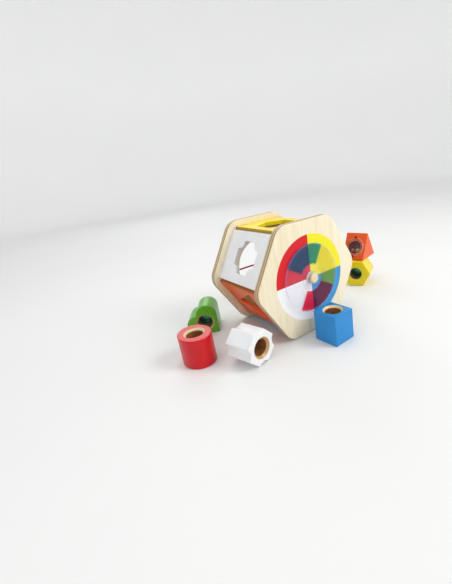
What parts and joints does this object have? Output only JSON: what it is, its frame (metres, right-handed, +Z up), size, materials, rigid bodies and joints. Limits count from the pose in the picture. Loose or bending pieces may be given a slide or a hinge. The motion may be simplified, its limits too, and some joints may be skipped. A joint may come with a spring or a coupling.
{
  "type": "shape sorter",
  "caption": "Wooden hexagonal drum shape sorter with painted side panels, cut-out shapes, a see-through colour spinner and matching look-through posting blocks.",
  "frame": {"origin": "middle of the front plate's flat bottom edge, which rests on the floor", "axes": "+Z up, +Y from the spinner end to the open back end along the drum axis, +X to the right seen from the spinner end"},
  "size_m": [0.3991, 0.2275, 0.16],
  "materials": {
    "plywood": "clear satin lacquer",
    "paint_yellow": "satin paint on wood",
    "paint_white": "satin paint on wood",
    "paint_orange": "satin paint on wood",
    "paint_blue": "satin paint on wood",
    "paint_green": "satin paint on wood",
    "paint_red": "satin paint on wood",
    "beech": "satin",
    "cord": "braided",
    "nylon": "matt",
    "clear_acrylic": "clear polished",
    "film_blue": "transparent tint",
    "film_yellow": "transparent tint",
    "film_red": "transparent tint",
    "window_clear": "clear polished",
    "window_green": "dark green tint",
    "steel": "dark",
    "bead_red": "gloss paint",
    "bead_green": "gloss paint"
  },
  "bodies": {
    "drum": {"front_plate": "plywood", "back_plate": "plywood", "panel_yellow": "paint_yellow", "panel_white": "paint_white", "panel_orange": "paint_orange", "panel_blue": "paint_blue", "panel_green": "paint_green", "panel_red": "paint_red", "elastic_cord": "cord", "hub_washer": "nylon", "hub_pin": "beech"},
    "spinner": {"colour_disc": "clear_acrylic", "disc_film_blue": "film_blue", "disc_film_yellow": "film_yellow", "disc_film_red": "film_red"},
    "red_piece": {"red_block": "paint_red", "red_window": "window_clear"},
    "green_piece": {"green_block": "paint_green", "green_window": "window_green"},
    "white_piece": {"white_block": "paint_white", "white_window": "window_clear"},
    "blue_piece": {"blue_block": "paint_blue", "blue_window": "window_clear"},
    "yellow_piece": {"yellow_block": "paint_yellow", "yellow_window": "window_green"},
    "orange_piece": {"orange_block": "paint_orange", "orange_cover": "clear_acrylic", "cover_pins": "steel"},
    "bead_red_loose": {"bead_red": "bead_red"},
    "bead_green_loose": {"bead_green": "bead_green"}
  },
  "joints": [
    {"name": "spinner_turn", "type": "hinge", "parent": "drum", "child": "spinner", "pos_m": [0, -0.008, 0.08], "axis": [0, -1, 0], "continuous": true},
    {"name": "red_lift", "type": "slide", "parent": "drum", "child": "red_piece", "axis": [0, 0, 1], "range_m": [0, 0.2]},
    {"name": "green_lift", "type": "slide", "parent": "drum", "child": "green_piece", "axis": [0, 0, 1], "range_m": [0, 0.2]},
    {"name": "blue_lift", "type": "slide", "parent": "drum", "child": "blue_piece", "axis": [0, 0, 1], "range_m": [0, 0.2]},
    {"name": "yellow_lift", "type": "slide", "parent": "drum", "child": "yellow_piece", "axis": [0, 0, 1], "range_m": [0, 0.2]},
    {"name": "white_lift", "type": "slide", "parent": "drum", "child": "white_piece", "axis": [-0.5, -0.5, 0.7071], "range_m": [0, 0.25]},
    {"name": "orange_lift", "type": "slide", "parent": "yellow_piece", "child": "orange_piece", "axis": [0, 0, 1], "range_m": [0, 0.2]},
    {"name": "bead_red_shake", "type": "slide", "parent": "orange_piece", "child": "bead_red_loose", "axis": [-0.8259, -0.2604, 0.5], "range_m": [0, 0.0019]},
    {"name": "bead_green_shake", "type": "slide", "parent": "orange_piece", "child": "bead_green_loose", "axis": [-0.8259, -0.2604, 0.5], "range_m": [0, 0.0019]}
  ]
}
